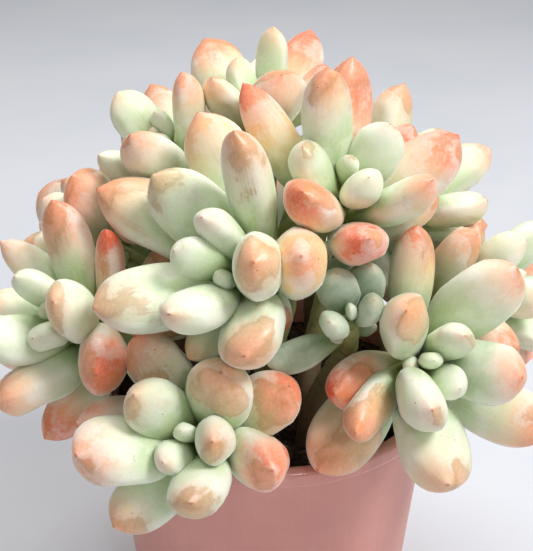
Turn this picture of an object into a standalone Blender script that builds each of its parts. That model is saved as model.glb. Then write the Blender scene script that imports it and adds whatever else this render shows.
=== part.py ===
"""A potted pachyphytum: sixteen leafy heads on short stems in soil, in a plain tapered plastic pot.

Metres, +Z up. The origin is the middle of the pot's flat base, and the plant's front faces -Y.
"""
import math
from typing import NamedTuple

import bmesh
import bpy
import numpy as np

MM = 0.001

# Pot
POT_HEIGHT = 0.095
RIM_RADIUS = 0.055
RIM_BAND = 0.0062
RIM_OVERHANG = 0.0022
RIM_ROUND = 0.0020
BASE_RADIUS = 0.0440
WALL = 0.0022
FLOOR = 0.0030
FOOT_ROUND = 0.0016
TURN_STEPS = 40

# Soil
SOIL_TOP = 0.086
SOIL_MOUND = 0.0015
SOIL_RING_SHARES = (0.35, 0.65, 0.9)
CLEARANCE = 0.0003

# Stems
STEM_RADIUS = 0.0036
STEM_DEPTH = 0.010
STEM_SPACING = 0.55
STEM_PULL = 0.4
STEM_BARE_TOP = 0.002
STEM_BARE_FOOT = 0.002
STEM_END_DROP = 0.001
STEM_POINTS = 7
FINE_POINTS = 4
HOLE_SIDES = 12

# Leaves: sizes are shares of the leaf's length, and angles are in degrees
GOLDEN_TURN = 137.5
RANK_STEP = 0.0019
STEM_OFFSET = 0.0024
BUD_OFFSET_SHARE = 0.2
OFFSET_RANKS = 4
INNER_SPREAD = 12
OUTER_SPREAD = 80
OUTER_RANK = 13
SPREAD_POWER = 0.85
BUD_LOSS = 0.72
GROWTH_RANKS = 3
LEAF_WIDTH = 0.61
WIDTH_LOSS = 0.011
LEAF_THICKNESS = 0.42
BUD_PLUMPNESS = 1.12
BUD_RANKS = 3
LEAF_BEND = 22
WIDEST = 0.57
ROOT_WIDTH = 0.38
ROOT_POWER = 1.4
TIP_FULLNESS = 2.2
TIP_POWER = 0.6
UPPER_SIDE = 0.86
UNDER_SIDE = 1.14
LEAF_SIDES = 6
LEAF_RINGS = 4
YOUNG_LEAF_RINGS = 3
YOUNG_RANKS = 4
FACET_SWELL = 1.05
POLE_HEIGHT = 0.999

# How far unposed leaves stray from the rule
SEED = 11
STRAY_ANGLE = 3
STRAY_BEND = 5
STRAY_LENGTH = 0.05
STRAY_WIDTH = 0.03


class Head(NamedTuple):
    """One leafy stem. Lengths are in millimetres and angles in degrees.

    facing is the azimuth from the front towards +X, then the elevation. first_turn is where the
    newest leaf points, counterclockwise from the right as seen from outside, and hand is the
    spiral's sense. shifts holds, by rank, how single leaves differ: see Shift.
    """
    apex: tuple
    facing: tuple
    first_turn: float
    hand: int
    leaves: int
    longest: float
    shifts: dict


class Shift(NamedTuple):
    """How a single leaf departs from the rule: more turn and spread, its size and width, a twist."""
    turn: float = 0
    spread: float = 0
    size: float = 1
    width: float = 1
    twist: float = 0


HEADS = {
    "head_front": Head((-20, -65, 113), (-14, 32), 94, 1, 13, 36, {
        1: (0, 4, 0.94), 2: (10, -4), 3: (0, 4, 1.02, 1.04, 10), 4: (12, -8, 1.04),
        5: (4, 0, 1.02, 1.08, 5), 6: (-14, -8, 1.16, 1.1, 40), 7: (16, -4, 1.02, 0.9, 30),
        8: (10, 8, 1.06, 0.94, -15), 9: (-18, -2, 0.98, 1, 10), 10: (-3, -8, 1.02, 1.05, 10),
        11: (14, -10, 1.04, 1, 5), 12: (30, -4, 0.8, 1.2, 0)}),
    "head_front_right": Head((42, -52, 128), (5, 25), 90, -1, 15, 37, {
        1: (12, 12, 0.88), 2: (0, 0, 0.42), 3: (16, -2, 0.82, 0.9, 10),
        4: (-16, -26, 1.1, 0.9, -30), 5: (-6, -6, 1.02, 0.9, 30), 6: (10, -4, 0.96, 1.04, -10),
        7: (2, -8, 1.1, 0.7, -35), 8: (-22, 0, 1.14, 0.94, 15), 9: (-22, -28, 1.18, 1, -30),
        10: (25, -8, 1, 0.95, -15), 11: (-10, -4, 0.8), 12: (-17, -10, 1.14),
        13: (-16, -8, 1.1, 0.76, 15), 14: (4, -18, 1.18, 1, 20)}),
    "head_centre": Head((-9, -49, 154), (-26, 25), 287, -1, 15, 38, {
        1: (8, 18, 1.1, 1, -10), 2: (12, 4, 1.14, 1.08, -10), 3: (24, -20, 1.26, 0.75, 10),
        4: (14, -2, 0.84, 0.88, -30), 5: (-10, 0, 1, 1.04), 6: (24, 2, 1.24, 0.86, 25),
        7: (48, 4, 1.22, 0.7, -35), 8: (-22, 8, 0.78, 0.84, 5), 9: (12, -2, 1.06, 0.96, 5),
        10: (30, -28, 0.98, 1, -5), 12: (44, -2, 1.26, 0.9, 15),
        13: (0, 0, 0.35), 14: (2, -18, 1.46, 0.86, 40)}),
    "head_upper_right": Head((20, -32, 172), (2, 58), 88, -1, 14, 36, {
        1: (-10, 12, 1.1, 1.04, 10), 2: (-14, 6, 0.98), 3: (6, 8, 0.9, 1.03, 30),
        4: (-30, 2, 1.06, 0.92), 5: (-4, -18, 1.32, 0.7, 25), 6: (-12, -8, 1.1, 0.7, -15),
        7: (0, 0, 0.4), 8: (22, -22, 1.26, 0.76, 50), 9: (-10, -18, 1.02, 0.84, -5),
        10: (-26, -2, 1.32, 0.56, -15), 11: (12, -10, 1.14, 0.96, -10),
        12: (0, 0, 0.45), 13: (-64, 8, 1, 1.05, 30)}),
    "head_left": Head((-59, -28, 130), (-38, 36), 60, -1, 15, 36, {
        1: (12, 10, 1.02, 1.04, -5), 2: (-12, -6, 1.02, 0.8, -15), 3: (10, -14, 1.06, 1.1, 20),
        4: (22, -12, 1.06, 0.98), 5: (22, 24, 1.14, 0.84, -10), 6: (26, 8, 1.08, 0.96, 35),
        8: (32, -4, 1.02, 0.58, -15), 9: (6, -22, 1.14, 0.9, 20), 10: (32, -12, 1.16, 0.6, 5),
        14: (-30, -12, 1, 0.92, -10)}),
    "head_small": Head((21, -50, 142), (-5, 49), 90, 1, 9, 25, {
        1: (-2, 12, 1.14, 1.04, -5), 2: (8, 0, 0.98, 0.9, -15), 3: (-26, -10, 1.04, 1.04, -20),
        4: (-50, 0, 0.36), 5: (12, -4, 0.98), 6: (16, 40, 1.04, 0.82, -5),
        7: (40, 0, 0.3), 8: (-6, 4, 1)}),
    "head_upper_left": Head((-32, 15, 167), (-66, 62), 255, -1, 12, 36, {
        0: (0, 0, 0.7), 1: (0, 0, 0.7), 2: (0, 0, 0.5), 3: (-6, -6, 0.96), 4: (-6, -2, 1.16, 0.76),
        5: (6, 2, 0.92, 0.8), 6: (10, 12, 1.04, 0.8), 7: (-40, -17, 1.14, 0.8), 8: (0, 0, 0.7)}),
    "head_top": Head((-2, 27, 176), (-12, 76), 45, 1, 12, 36, {
        2: (-18, 18, 1.36), 3: (-16, -4, 1.04, 0.75, -25), 4: (0, 2, 1.06, 0.8),
        5: (-16, -2, 0.98, 0.86, -15), 6: (-8, 8, 1.06, 1.1), 8: (8, -2, 1.14, 0.8, 5),
        11: (-2, -22, 1, 0.8, 10)}),
    "head_right_shoulder": Head((45, 7, 154), (68, 40), 315, -1, 12, 36, {
        3: (-6, -8), 4: (-1, 7, 1.2, 0.85), 5: (4, -4, 1.12, 0.82, -30),
        7: (-6, 2, 1.15, 0.86, 20)}),
    "head_right": Head((70, -9, 130), (71, 20), 90, -1, 12, 36, {
        5: (-12, -4, 0.88, 0.92), 6: (6, -4, 0.82, 0.82, 5), 7: (0, 0, 0.85), 8: (0, 0, 0.65),
        10: (-37, -9, 1, 0.95)}),
    "head_left_shoulder": Head((-61, 17, 138), (-93, 33), 165, -1, 11, 36, {
        2: (0, 0, 0.7), 3: (20, 0, 0.75), 5: (-2, 6, 1.1, 1.06, -5), 6: (-8, 8, 1.06, 1.04),
        9: (0, 0, 0.65)}),
    "head_back_left": Head((-50, 48, 118), (-134, 18), 60, -1, 11, 34, {8: (0, 0, 0.7)}),
    "head_back": Head((0, 70, 124), (180, 20), 10, 1, 12, 34, {8: (0, 0, 0.7)}),
    "head_back_right": Head((50, 48, 122), (134, 18), 150, -1, 12, 34, {11: (0, 0, 0.7)}),
    "head_rear_right": Head((29, 54, 150), (150, 38), 90, 1, 12, 33, {}),
    "head_rear_left": Head((-29, 57, 148), (-155, 36), 200, -1, 12, 33, {9: (0, 0, 0.6)}),
}

# Settling: how leaves give way to each other until they lie clear
SETTLE_STEPS = 150
HEAD_GAP = 0.0011
TOUCH_DEPTH = 0.0004
POSED_TOUCH_DEPTH = 0.0030
STEM_GAP = 0.0009
POT_GAP = 0.0014
RIM_SPAN = 0.0025
RIM_EDGE = 0.003
SOIL_EDGE = 0.005
DEEPEST_PUSH = 0.006
HEAD_SQUEEZE = 0.0020
OTHER_SQUEEZE = 0.0003
FIXED_SQUEEZE = 0.0006
NEIGHBOUR_SPAN = 0.62
NEIGHBOUR_MARGIN = 0.002
POT_GIRTH = 1.1
POT_PUSH = 2
STEM_GIRTH = 1.25
STEM_PUSH = 1.5
PUSH_SHARE = 0.5
LARGEST_PUSH = 0.25
SPRING_BACK = 0.02
TINY = 1e-9
CONTACT_SHARES = np.array([0.30, 0.42, 0.54, 0.66, 0.77])
CONTACT_LENGTHS = np.array([0.12, 0.12, 0.12, 0.12, 0.20])
YOUNG_STIFFNESS = (0.15, 0.25, 0.30, 0.50, 0.60, 0.80)
POSED_STIFFNESS = 0.2
SHRINK_FROM = 40
SHRINK_EVERY = 3
SHRINK_BY = 0.985
SMALLEST = 0.55
SMALLEST_POSED = 0.88

# Materials: colour, roughness
POT_FINISH = ((0.80, 0.36, 0.30), 0.45)
SOIL_FINISH = ((0.035, 0.022, 0.016), 0.95)
MINT = (0.55, 0.72, 0.50)
PEACH = (0.88, 0.58, 0.42)
PEACH_SHARE = 0.5
SHADE_STEP = 0.618
LEAF_ROUGHNESS = 0.55
POT_SHARP_ANGLE = 35
LEAF_SHARP_ANGLE = 60
MERGE_DISTANCE = 0.00001


def unit(vectors):
    return vectors / np.linalg.norm(vectors, axis=-1, keepdims=True)


def dot(a, b):
    return np.sum(a * b, axis=-1)


def facing_direction(azimuth, elevation):
    a = math.radians(azimuth)
    e = math.radians(elevation)
    return np.array([math.sin(a) * math.cos(e), -math.cos(a) * math.cos(e), math.sin(e)])


def head_frame(head):
    """The head's axis, and its right and up as a viewer in front of it sees them."""
    axis = facing_direction(*head.facing)
    right = unit(np.cross([0, 0, 1], axis))
    return axis, right, np.cross(axis, right)


def leaf_spread(rank):
    """Angle between the head's axis and a leaf, from the upright newest to the drooping oldest."""
    return INNER_SPREAD + OUTER_SPREAD * (rank / OUTER_RANK) ** SPREAD_POWER


def leaf_growth(rank):
    """Share of full length that a leaf has reached."""
    return 1 - BUD_LOSS * math.exp(-rank / GROWTH_RANKS)


def leaf_profile(u):
    """Half width along the leaf, 1 at its widest, as a share of the largest."""
    rise = np.clip(u / WIDEST, 0, 1)
    fall = np.clip((u - WIDEST) / (1 - WIDEST), 0, 1)
    lower = ROOT_WIDTH + (1 - ROOT_WIDTH) * np.sin(math.pi / 2 * rise) ** ROOT_POWER
    upper = (1 - fall ** TIP_FULLNESS) ** TIP_POWER
    return np.where(u < WIDEST, lower, upper)


class Foliage:
    """All leaves of the plant as arrays, one row a leaf."""

    def __init__(self):
        rng = np.random.default_rng(SEED)
        rows = []
        for number, head in enumerate(HEADS.values()):
            rows += [self.leaf_row(number, head, rank, rng) for rank in range(head.leaves)]
        columns = [np.array(column) for column in zip(*rows)]
        self.head, self.rank, self.base, self.axis, self.natural = columns[:5]
        self.length, self.width, self.thickness, self.bend, self.twist, self.posed = columns[5:]
        self.direction = self.natural.copy()
        self.full_length = self.length.copy()

    @staticmethod
    def leaf_row(number, head, rank, rng):
        axis, right, up = head_frame(head)
        shift = Shift(*head.shifts.get(rank, ()))
        posed = rank in head.shifts
        turn_draw, spread_draw, length_draw, width_draw, bend_draw = rng.normal(size=5) * (not posed)
        turn = math.radians(head.first_turn + shift.turn + head.hand * GOLDEN_TURN * rank
                            + STRAY_ANGLE * turn_draw)
        spread = math.radians(leaf_spread(rank) + shift.spread + STRAY_ANGLE * spread_draw)
        outward = math.cos(turn) * right + math.sin(turn) * up
        direction = math.sin(spread) * outward + math.cos(spread) * axis
        length = MM * head.longest * leaf_growth(rank) * shift.size * (1 + STRAY_LENGTH * length_draw)
        offset = STEM_OFFSET * min(1, BUD_OFFSET_SHARE + rank / OFFSET_RANKS)
        base = MM * np.array(head.apex) - RANK_STEP * rank * axis + offset * outward
        plump = BUD_PLUMPNESS if rank < BUD_RANKS else 1
        width_share = (LEAF_WIDTH - WIDTH_LOSS * rank) * shift.width + STRAY_WIDTH * width_draw
        return (number, rank, base, axis, direction, length, length * width_share,
                length * LEAF_THICKNESS * shift.width * plump,
                math.radians(LEAF_BEND + STRAY_BEND * bend_draw), math.radians(shift.twist), posed)

    def centreline(self, u):
        """Points, tangents, upper-side normals and sideways units along each leaf's arc."""
        forward = self.direction
        rise = unit(self.axis - dot(self.axis, forward)[:, None] * forward)
        side = np.cross(rise, forward)[:, None]
        angle = (self.bend[:, None] * u)[..., None]
        radius = (self.length / self.bend)[:, None, None]
        forward, rise = forward[:, None], rise[:, None]
        points = self.base[:, None] + radius * (np.sin(angle) * forward + (1 - np.cos(angle)) * rise)
        tangents = np.cos(angle) * forward + np.sin(angle) * rise
        normals = np.cos(angle) * rise - np.sin(angle) * forward
        turn = self.twist[:, None, None]
        return (points, tangents, np.cos(turn) * normals - np.sin(turn) * side,
                np.cos(turn) * side + np.sin(turn) * normals)

    def scale(self, share):
        self.length = self.length * share
        self.width = self.width * share
        self.thickness = self.thickness * share


def stem_route(head):
    """From the foot in the soil straight up, over in a smooth curve, then along the head's axis."""
    axis = head_frame(head)[0]
    apex = MM * np.array(head.apex)
    leafy = RANK_STEP * head.leaves + STEM_BARE_TOP
    foot = np.array([*(STEM_SPACING * apex[:2]), SOIL_TOP - STEM_DEPTH])
    start = foot + [0, 0, STEM_DEPTH + STEM_BARE_FOOT]
    end = apex - leafy * axis
    reach = STEM_PULL * np.linalg.norm(end - start)
    t = np.linspace(0, 1, STEM_POINTS)[:, None]
    curve = ((1 - t) ** 3 * start + 3 * (1 - t) ** 2 * t * (start + [0, 0, reach])
             + 3 * (1 - t) * t ** 2 * (end - reach * axis) + t ** 3 * end)
    return np.vstack([foot, curve, apex - STEM_END_DROP * axis])


def section_reach(toward, side, normal, tangent, foliage, leaf, share):
    """How far a leaf's section at a contact share reaches along a direction."""
    outline = leaf_profile(CONTACT_SHARES[share])
    length = foliage.length[leaf][:, None]
    above = dot(toward, normal)
    half_width = foliage.width[leaf][:, None] / 2 * outline
    half_depth = foliage.thickness[leaf][:, None] / 2 * outline
    half_depth = half_depth * np.where(above > 0, UPPER_SIDE, UNDER_SIDE)
    return np.sqrt((half_width * dot(toward, side)) ** 2 + (half_depth * above) ** 2
                   + (CONTACT_LENGTHS[share] * length * dot(toward, tangent)) ** 2)


def spread_push(depth):
    """Share each push among a leaf's contacts by depth."""
    return depth * depth / (depth.sum(axis=1, keepdims=True) + TINY)


def leaf_pushes(foliage, points, tangents, normals, side):
    """Turning pushes between neighbouring leaves, and each leaf's deepest squeeze."""
    first_share, second_share = [grid.ravel() for grid in np.meshgrid(
        np.arange(len(CONTACT_SHARES)), np.arange(len(CONTACT_SHARES)), indexing="ij")]
    middle = points[:, 3]
    apart = np.linalg.norm(middle[:, None] - middle, axis=2)
    span = NEIGHBOUR_SPAN * foliage.length
    first, second = np.nonzero(np.triu(apart < span[:, None] + span + NEIGHBOUR_MARGIN, 1))
    same_head = foliage.head[first] == foliage.head[second]
    offset = points[first][:, first_share] - points[second][:, second_share]
    distance = np.linalg.norm(offset, axis=2) + TINY
    toward = offset / distance[..., None]
    reach = (section_reach(toward, side[first][:, first_share], normals[first][:, first_share],
                           tangents[first][:, first_share], foliage, first, first_share)
             + section_reach(-toward, side[second][:, second_share], normals[second][:, second_share],
                             tangents[second][:, second_share], foliage, second, second_share))
    both_posed = foliage.posed[first] & foliage.posed[second]
    touch = np.where(both_posed, POSED_TOUCH_DEPTH, TOUCH_DEPTH)
    wanted = np.where(same_head, -touch, HEAD_GAP)[:, None]
    depth = np.clip(reach + wanted - distance, 0, DEEPEST_PUSH)
    both_near_root = (first_share < 2) & (second_share < 2)
    depth[same_head[:, None] & both_near_root] = 0
    push = spread_push(depth)
    pushes = np.zeros_like(foliage.direction)
    for leaf, share, sign in ((first, first_share, 1), (second, second_share, -1)):
        lever = foliage.length[leaf][:, None] * CONTACT_SHARES[share]
        np.add.at(pushes, leaf, sign * (toward * (push / lever)[..., None]).sum(axis=1))
    squeeze = np.zeros(len(foliage.length))
    excess = depth.max(axis=1) - np.where(same_head, HEAD_SQUEEZE, OTHER_SQUEEZE)
    np.maximum.at(squeeze, first, excess)
    np.maximum.at(squeeze, second, excess)
    return pushes, squeeze


def pot_depths(points, radius):
    """Vectors that lift points of a radius out of the rim, the wall and the soil."""
    across = np.hypot(points[..., 0], points[..., 1]) + TINY
    height = points[..., 2]
    radial = np.stack([points[..., 0] / across, points[..., 1] / across, 0 * across], axis=-1)
    upward = np.array([0, 0, 1.0])
    rim_across = across - (RIM_RADIUS - RIM_SPAN)
    rim_height = height - (POT_HEIGHT - RIM_SPAN)
    rim_distance = np.hypot(rim_across, rim_height) + TINY
    over_rim = np.maximum(radius + RIM_SPAN + POT_GAP - rim_distance, 0) * (rim_height > 0) / rim_distance
    lift = over_rim[..., None] * (rim_across[..., None] * radial + rim_height[..., None] * upward)
    taper = (RIM_RADIUS - BASE_RADIUS) / POT_HEIGHT
    wall = RIM_RADIUS - taper * np.maximum(POT_HEIGHT - height, 0)
    beside = (rim_height <= 0) & (across > RIM_RADIUS - RIM_EDGE)
    lift += (np.maximum(wall + radius + POT_GAP - across, 0) * beside)[..., None] * radial
    inside = across <= RIM_RADIUS - SOIL_EDGE
    floor = SOIL_TOP + SOIL_MOUND
    lift += (np.maximum(floor + radius + POT_GAP - height, 0) * inside)[..., None] * upward
    return lift


def fixed_pushes(foliage, points, stems):
    """Turning pushes away from the pot, the soil and other heads' stems, and the squeeze."""
    radius = foliage.thickness[:, None] / 2 * leaf_profile(CONTACT_SHARES)
    lever = foliage.length[:, None] * CONTACT_SHARES
    lift = pot_depths(points, POT_GIRTH * radius)
    depth = np.linalg.norm(lift, axis=2)
    share = depth / (depth.sum(axis=1, keepdims=True) + TINY)
    pushes = POT_PUSH * (lift * (share / lever)[..., None]).sum(axis=1)
    squeeze = depth.max(axis=1)
    for number, route in enumerate(stems):
        others = np.nonzero(foliage.head != number)[0]
        offset = points[others][:, :, None] - route
        distance = np.linalg.norm(offset, axis=3)
        nearest = distance.argmin(axis=2)[..., None]
        distance = np.take_along_axis(distance, nearest, axis=2)[..., 0]
        offset = np.take_along_axis(offset, nearest[..., None], axis=2)[:, :, 0]
        depth = np.maximum(STEM_GIRTH * radius[others] + STEM_RADIUS + STEM_GAP - distance, 0)
        push = spread_push(depth) / (distance * lever[others])
        pushes[others] += STEM_PUSH * (offset * push[..., None]).sum(axis=1)
        squeeze[others] = np.maximum(squeeze[others], depth.max(axis=1))
    return pushes, squeeze - FIXED_SQUEEZE


def fine_route(head):
    """The stem's route with points close together, to measure distances from."""
    route = stem_route(head)
    places = np.linspace(0, len(route) - 1, FINE_POINTS * len(route))
    return np.stack([np.interp(places, np.arange(len(route)), column) for column in route.T], axis=1)


def settle(foliage):
    """Turn leaves about their roots until they lie clear, and shrink those still squeezed."""
    stems = [fine_route(head) for head in HEADS.values()]
    yielding = np.ones(len(foliage.length))
    for rank, share in enumerate(YOUNG_STIFFNESS):
        yielding[foliage.rank == rank] = share
    yielding[foliage.posed] *= POSED_STIFFNESS
    smallest = np.where(foliage.posed, SMALLEST_POSED, SMALLEST)
    for step in range(SETTLE_STEPS):
        points, tangents, normals, side = foliage.centreline(CONTACT_SHARES)
        pushes, squeeze = leaf_pushes(foliage, points, tangents, normals, side)
        fixed, fixed_squeeze = fixed_pushes(foliage, points, stems)
        pushes += fixed
        pushes -= dot(pushes, foliage.direction)[:, None] * foliage.direction
        size = np.linalg.norm(pushes, axis=1) + TINY
        pushes *= (PUSH_SHARE * yielding * np.minimum(1, LARGEST_PUSH / size))[:, None]
        back = SPRING_BACK * (foliage.natural - foliage.direction)
        foliage.direction = unit(foliage.direction + pushes + back)
        if step > SHRINK_FROM and step % SHRINK_EVERY == 0:
            squeezed = np.maximum(squeeze, fixed_squeeze) > 0
            can_shrink = foliage.length > smallest * foliage.full_length
            foliage.scale(np.where(squeezed & can_shrink, SHRINK_BY, 1))


def empty_scene():
    for old in list(bpy.data.objects):
        bpy.data.objects.remove(old, do_unlink=True)


def new_collection(name):
    collection = bpy.data.collections.new(name)
    bpy.context.scene.collection.children.link(collection)
    return collection


def finish(name, colour, roughness):
    material = bpy.data.materials.new(name)
    material.use_nodes = True
    shader = material.node_tree.nodes["Principled BSDF"]
    shader.inputs["Base Color"].default_value = (*colour, 1)
    shader.inputs["Roughness"].default_value = roughness
    shader.inputs["Metallic"].default_value = 0
    return material


def add_object(name, data, collection, material=None):
    new = bpy.data.objects.new(name, data)
    collection.objects.link(new)
    if material:
        data.materials.append(material)
    return new


def as_mesh(source):
    """The object's shape with its modifiers, as a mesh."""
    bpy.context.view_layer.update()
    evaluated = source.evaluated_get(bpy.context.evaluated_depsgraph_get())
    return bpy.data.meshes.new_from_object(evaluated)


def replace_mesh(target, mesh):
    material = target.data.materials[0] if target.data.materials else None
    target.modifiers.clear()
    target.data = mesh
    mesh.materials.clear()
    if material:
        mesh.materials.append(material)


def arc(centre_x, centre_z, radius, start, end, count):
    """Points on a circle's arc from a start to an end angle in degrees."""
    angles = np.radians(np.linspace(start, end, count))
    return [(centre_x + radius * math.cos(a), centre_z + radius * math.sin(a)) for a in angles]


def turned(name, profile, collection, material):
    """A solid of revolution; the profile runs from the axis over the top and down to the axis."""
    mesh = bpy.data.meshes.new(name)
    edges = [(n, n + 1) for n in range(len(profile) - 1)]
    mesh.from_pydata([(x, 0, z) for x, z in profile], edges, [])
    body = add_object(name, mesh, collection, material)
    screw = body.modifiers.new("Turn", "SCREW")
    screw.steps = TURN_STEPS
    screw.render_steps = TURN_STEPS
    screw.use_merge_vertices = True
    screw.merge_threshold = MERGE_DISTANCE
    replace_mesh(body, as_mesh(body))
    body.data.shade_smooth()
    body.data.set_sharp_from_angle(angle=math.radians(POT_SHARP_ANGLE))
    return body


def wall_radius(height):
    """The pot's outer radius below its rim band."""
    top_radius = RIM_RADIUS - RIM_OVERHANG
    return BASE_RADIUS + (top_radius - BASE_RADIUS) * height / POT_HEIGHT


def add_pot(collection):
    inner_top = RIM_RADIUS - RIM_OVERHANG - WALL
    band_foot = POT_HEIGHT - RIM_BAND
    profile = [(0, FLOOR), (wall_radius(FLOOR) - WALL, FLOOR), (inner_top, POT_HEIGHT - RIM_ROUND)]
    profile += arc(inner_top + RIM_ROUND, POT_HEIGHT - RIM_ROUND, RIM_ROUND, 150, 90, 3)
    profile += arc(RIM_RADIUS - RIM_ROUND, POT_HEIGHT - RIM_ROUND, RIM_ROUND, 90, 0, 4)
    profile += arc(RIM_RADIUS - RIM_ROUND, band_foot + RIM_ROUND, RIM_ROUND, 0, -90, 4)
    profile.append((wall_radius(band_foot), band_foot))
    profile += arc(BASE_RADIUS - FOOT_ROUND, FOOT_ROUND, FOOT_ROUND, 0, -90, 4)
    profile.append((0, 0))
    return turned("pot", profile, collection, finish("pot", *POT_FINISH))


def add_soil(collection, cutters):
    bottom = FLOOR + CLEARANCE
    inset = WALL + CLEARANCE
    edge_radius = wall_radius(SOIL_TOP) - inset
    profile = [(0, SOIL_TOP + SOIL_MOUND)]
    for share in SOIL_RING_SHARES:
        profile.append((share * edge_radius, SOIL_TOP + SOIL_MOUND * (1 - share ** 2)))
    profile += [(edge_radius, SOIL_TOP), (wall_radius(bottom) - inset, bottom), (0, bottom)]
    soil = turned("soil", profile, collection, finish("soil", *SOIL_FINISH))
    for name, head in HEADS.items():
        drill_stem_hole(soil, name, head, cutters)
    replace_mesh(soil, as_mesh(soil))
    return soil


def drill_stem_hole(soil, name, head, cutters):
    """A plain round hole that the stem's foot stands in."""
    foot = stem_route(head)[0]
    depth = STEM_DEPTH + CLEARANCE
    shape = bmesh.new()
    radius = (STEM_RADIUS + CLEARANCE) / math.cos(math.pi / HOLE_SIDES)
    bmesh.ops.create_cone(shape, cap_ends=True, segments=HOLE_SIDES, radius1=radius,
                          radius2=radius, depth=2 * depth)
    mesh = bpy.data.meshes.new(name + "_hole")
    shape.to_mesh(mesh)
    shape.free()
    cutter = add_object(name + "_hole", mesh, cutters)
    cutter.location = (foot[0], foot[1], foot[2] - CLEARANCE + depth)
    cutter.hide_render = True
    cutter.display_type = "WIRE"
    cut = soil.modifiers.new(name, "BOOLEAN")
    cut.operation = "DIFFERENCE"
    cut.object = cutter


def add_stem(name, head, collection, material):
    """The stem as a round tube, made a closed mesh."""
    curve = bpy.data.curves.new(name, "CURVE")
    curve.dimensions = "3D"
    curve.bevel_depth = STEM_RADIUS
    curve.bevel_resolution = 1
    curve.use_fill_caps = True
    route = stem_route(head)
    line = curve.splines.new("POLY")
    line.points.add(len(route) - 1)
    for point, place in zip(line.points, route):
        point.co = (*place, 1)
    drawn = add_object(name + "_route", curve, collection)
    mesh = as_mesh(drawn)
    bpy.data.objects.remove(drawn, do_unlink=True)
    shape = bmesh.new()
    shape.from_mesh(mesh)
    bmesh.ops.remove_doubles(shape, verts=shape.verts, dist=MERGE_DISTANCE)
    shape.to_mesh(mesh)
    shape.free()
    return add_object(name, mesh, collection, material)


def leaf_object(name, foliage, leaf, collection):
    """A fat leaf: a ball whose height is drawn out along the leaf's bent centreline."""
    shape = bmesh.new()
    rings = YOUNG_LEAF_RINGS if foliage.rank[leaf] < YOUNG_RANKS else LEAF_RINGS
    bmesh.ops.create_uvsphere(shape, u_segments=LEAF_SIDES, v_segments=rings + 1, radius=1)
    ball = np.array([vertex.co for vertex in shape.verts])
    u = np.clip((1 + ball[:, 2]) / 2, 0, 1)
    points, _, normals, side = [part[leaf] for part in foliage.centreline(u)]
    around = np.arctan2(ball[:, 1], ball[:, 0])
    is_pole = np.abs(ball[:, 2]) > POLE_HEIGHT
    outline = FACET_SWELL * leaf_profile(u) * ~is_pole
    across = foliage.width[leaf] / 2 * outline * np.cos(around)
    depth = foliage.thickness[leaf] / 2 * outline * np.sin(around)
    depth = depth * np.where(depth > 0, UPPER_SIDE, UNDER_SIDE)
    places = points + across[:, None] * side + depth[:, None] * normals
    for vertex, place in zip(shape.verts, places):
        vertex.co = place
    bmesh.ops.recalc_face_normals(shape, faces=shape.faces)
    mesh = bpy.data.meshes.new(name)
    shape.to_mesh(mesh)
    shape.free()
    return add_object(name, mesh, collection)


def keep_largest_shell(mesh):
    """Drop loose scraps and fill sealed hollows: only the outer shell stays."""
    shape = bmesh.new()
    shape.from_mesh(mesh)
    unseen = set(shape.verts)
    shells = []
    while unseen:
        shell = set()
        edge_of_search = [unseen.pop()]
        while edge_of_search:
            vertex = edge_of_search.pop()
            shell.add(vertex)
            linked = {edge.other_vert(vertex) for edge in vertex.link_edges} & unseen
            unseen -= linked
            edge_of_search += linked
        shells.append(shell)
    largest = max(shells, key=len)
    bmesh.ops.delete(shape, geom=[v for v in shape.verts if v not in largest], context="VERTS")
    bmesh.ops.triangulate(shape, faces=shape.faces)
    shape.to_mesh(mesh)
    shape.free()


def add_head(name, head, foliage, number, collection):
    """A stem and all its leaves, joined in one body."""
    shade = PEACH_SHARE * (number * SHADE_STEP % 1)
    colour = [mint + shade * (peach - mint) for mint, peach in zip(MINT, PEACH)]
    body = add_stem(name, head, collection, finish(name, colour, LEAF_ROUGHNESS))
    leaves = new_collection(name + "_leaves")
    for leaf in np.nonzero(foliage.head == number)[0]:
        leaf_object(f"{name}_leaf_{foliage.rank[leaf]:02d}", foliage, leaf, leaves)
    join = body.modifiers.new("Join", "BOOLEAN")
    join.operation = "UNION"
    join.operand_type = "COLLECTION"
    join.collection = leaves
    joined = as_mesh(body)
    keep_largest_shell(joined)
    replace_mesh(body, joined)
    for leaf in list(leaves.objects):
        bpy.data.objects.remove(leaf, do_unlink=True)
    bpy.data.collections.remove(leaves)
    body.data.shade_smooth()
    body.data.set_sharp_from_angle(angle=math.radians(LEAF_SHARP_ANGLE))
    return body


def main():
    empty_scene()
    plant = new_collection("Potted pachyphytum")
    cutters = new_collection("Cutters")
    foliage = Foliage()
    settle(foliage)
    add_pot(plant)
    add_soil(plant, cutters)
    for number, (name, head) in enumerate(HEADS.items()):
        add_head(name, head, foliage, number, plant)


main()
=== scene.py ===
"""The looks of a potted pachyphytum: smooth leaves with their bloom, stems, soil and a moulded pot.

Metres, +Z up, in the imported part's own frame. The plant's front faces -Y.
"""

import math
from typing import NamedTuple

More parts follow.
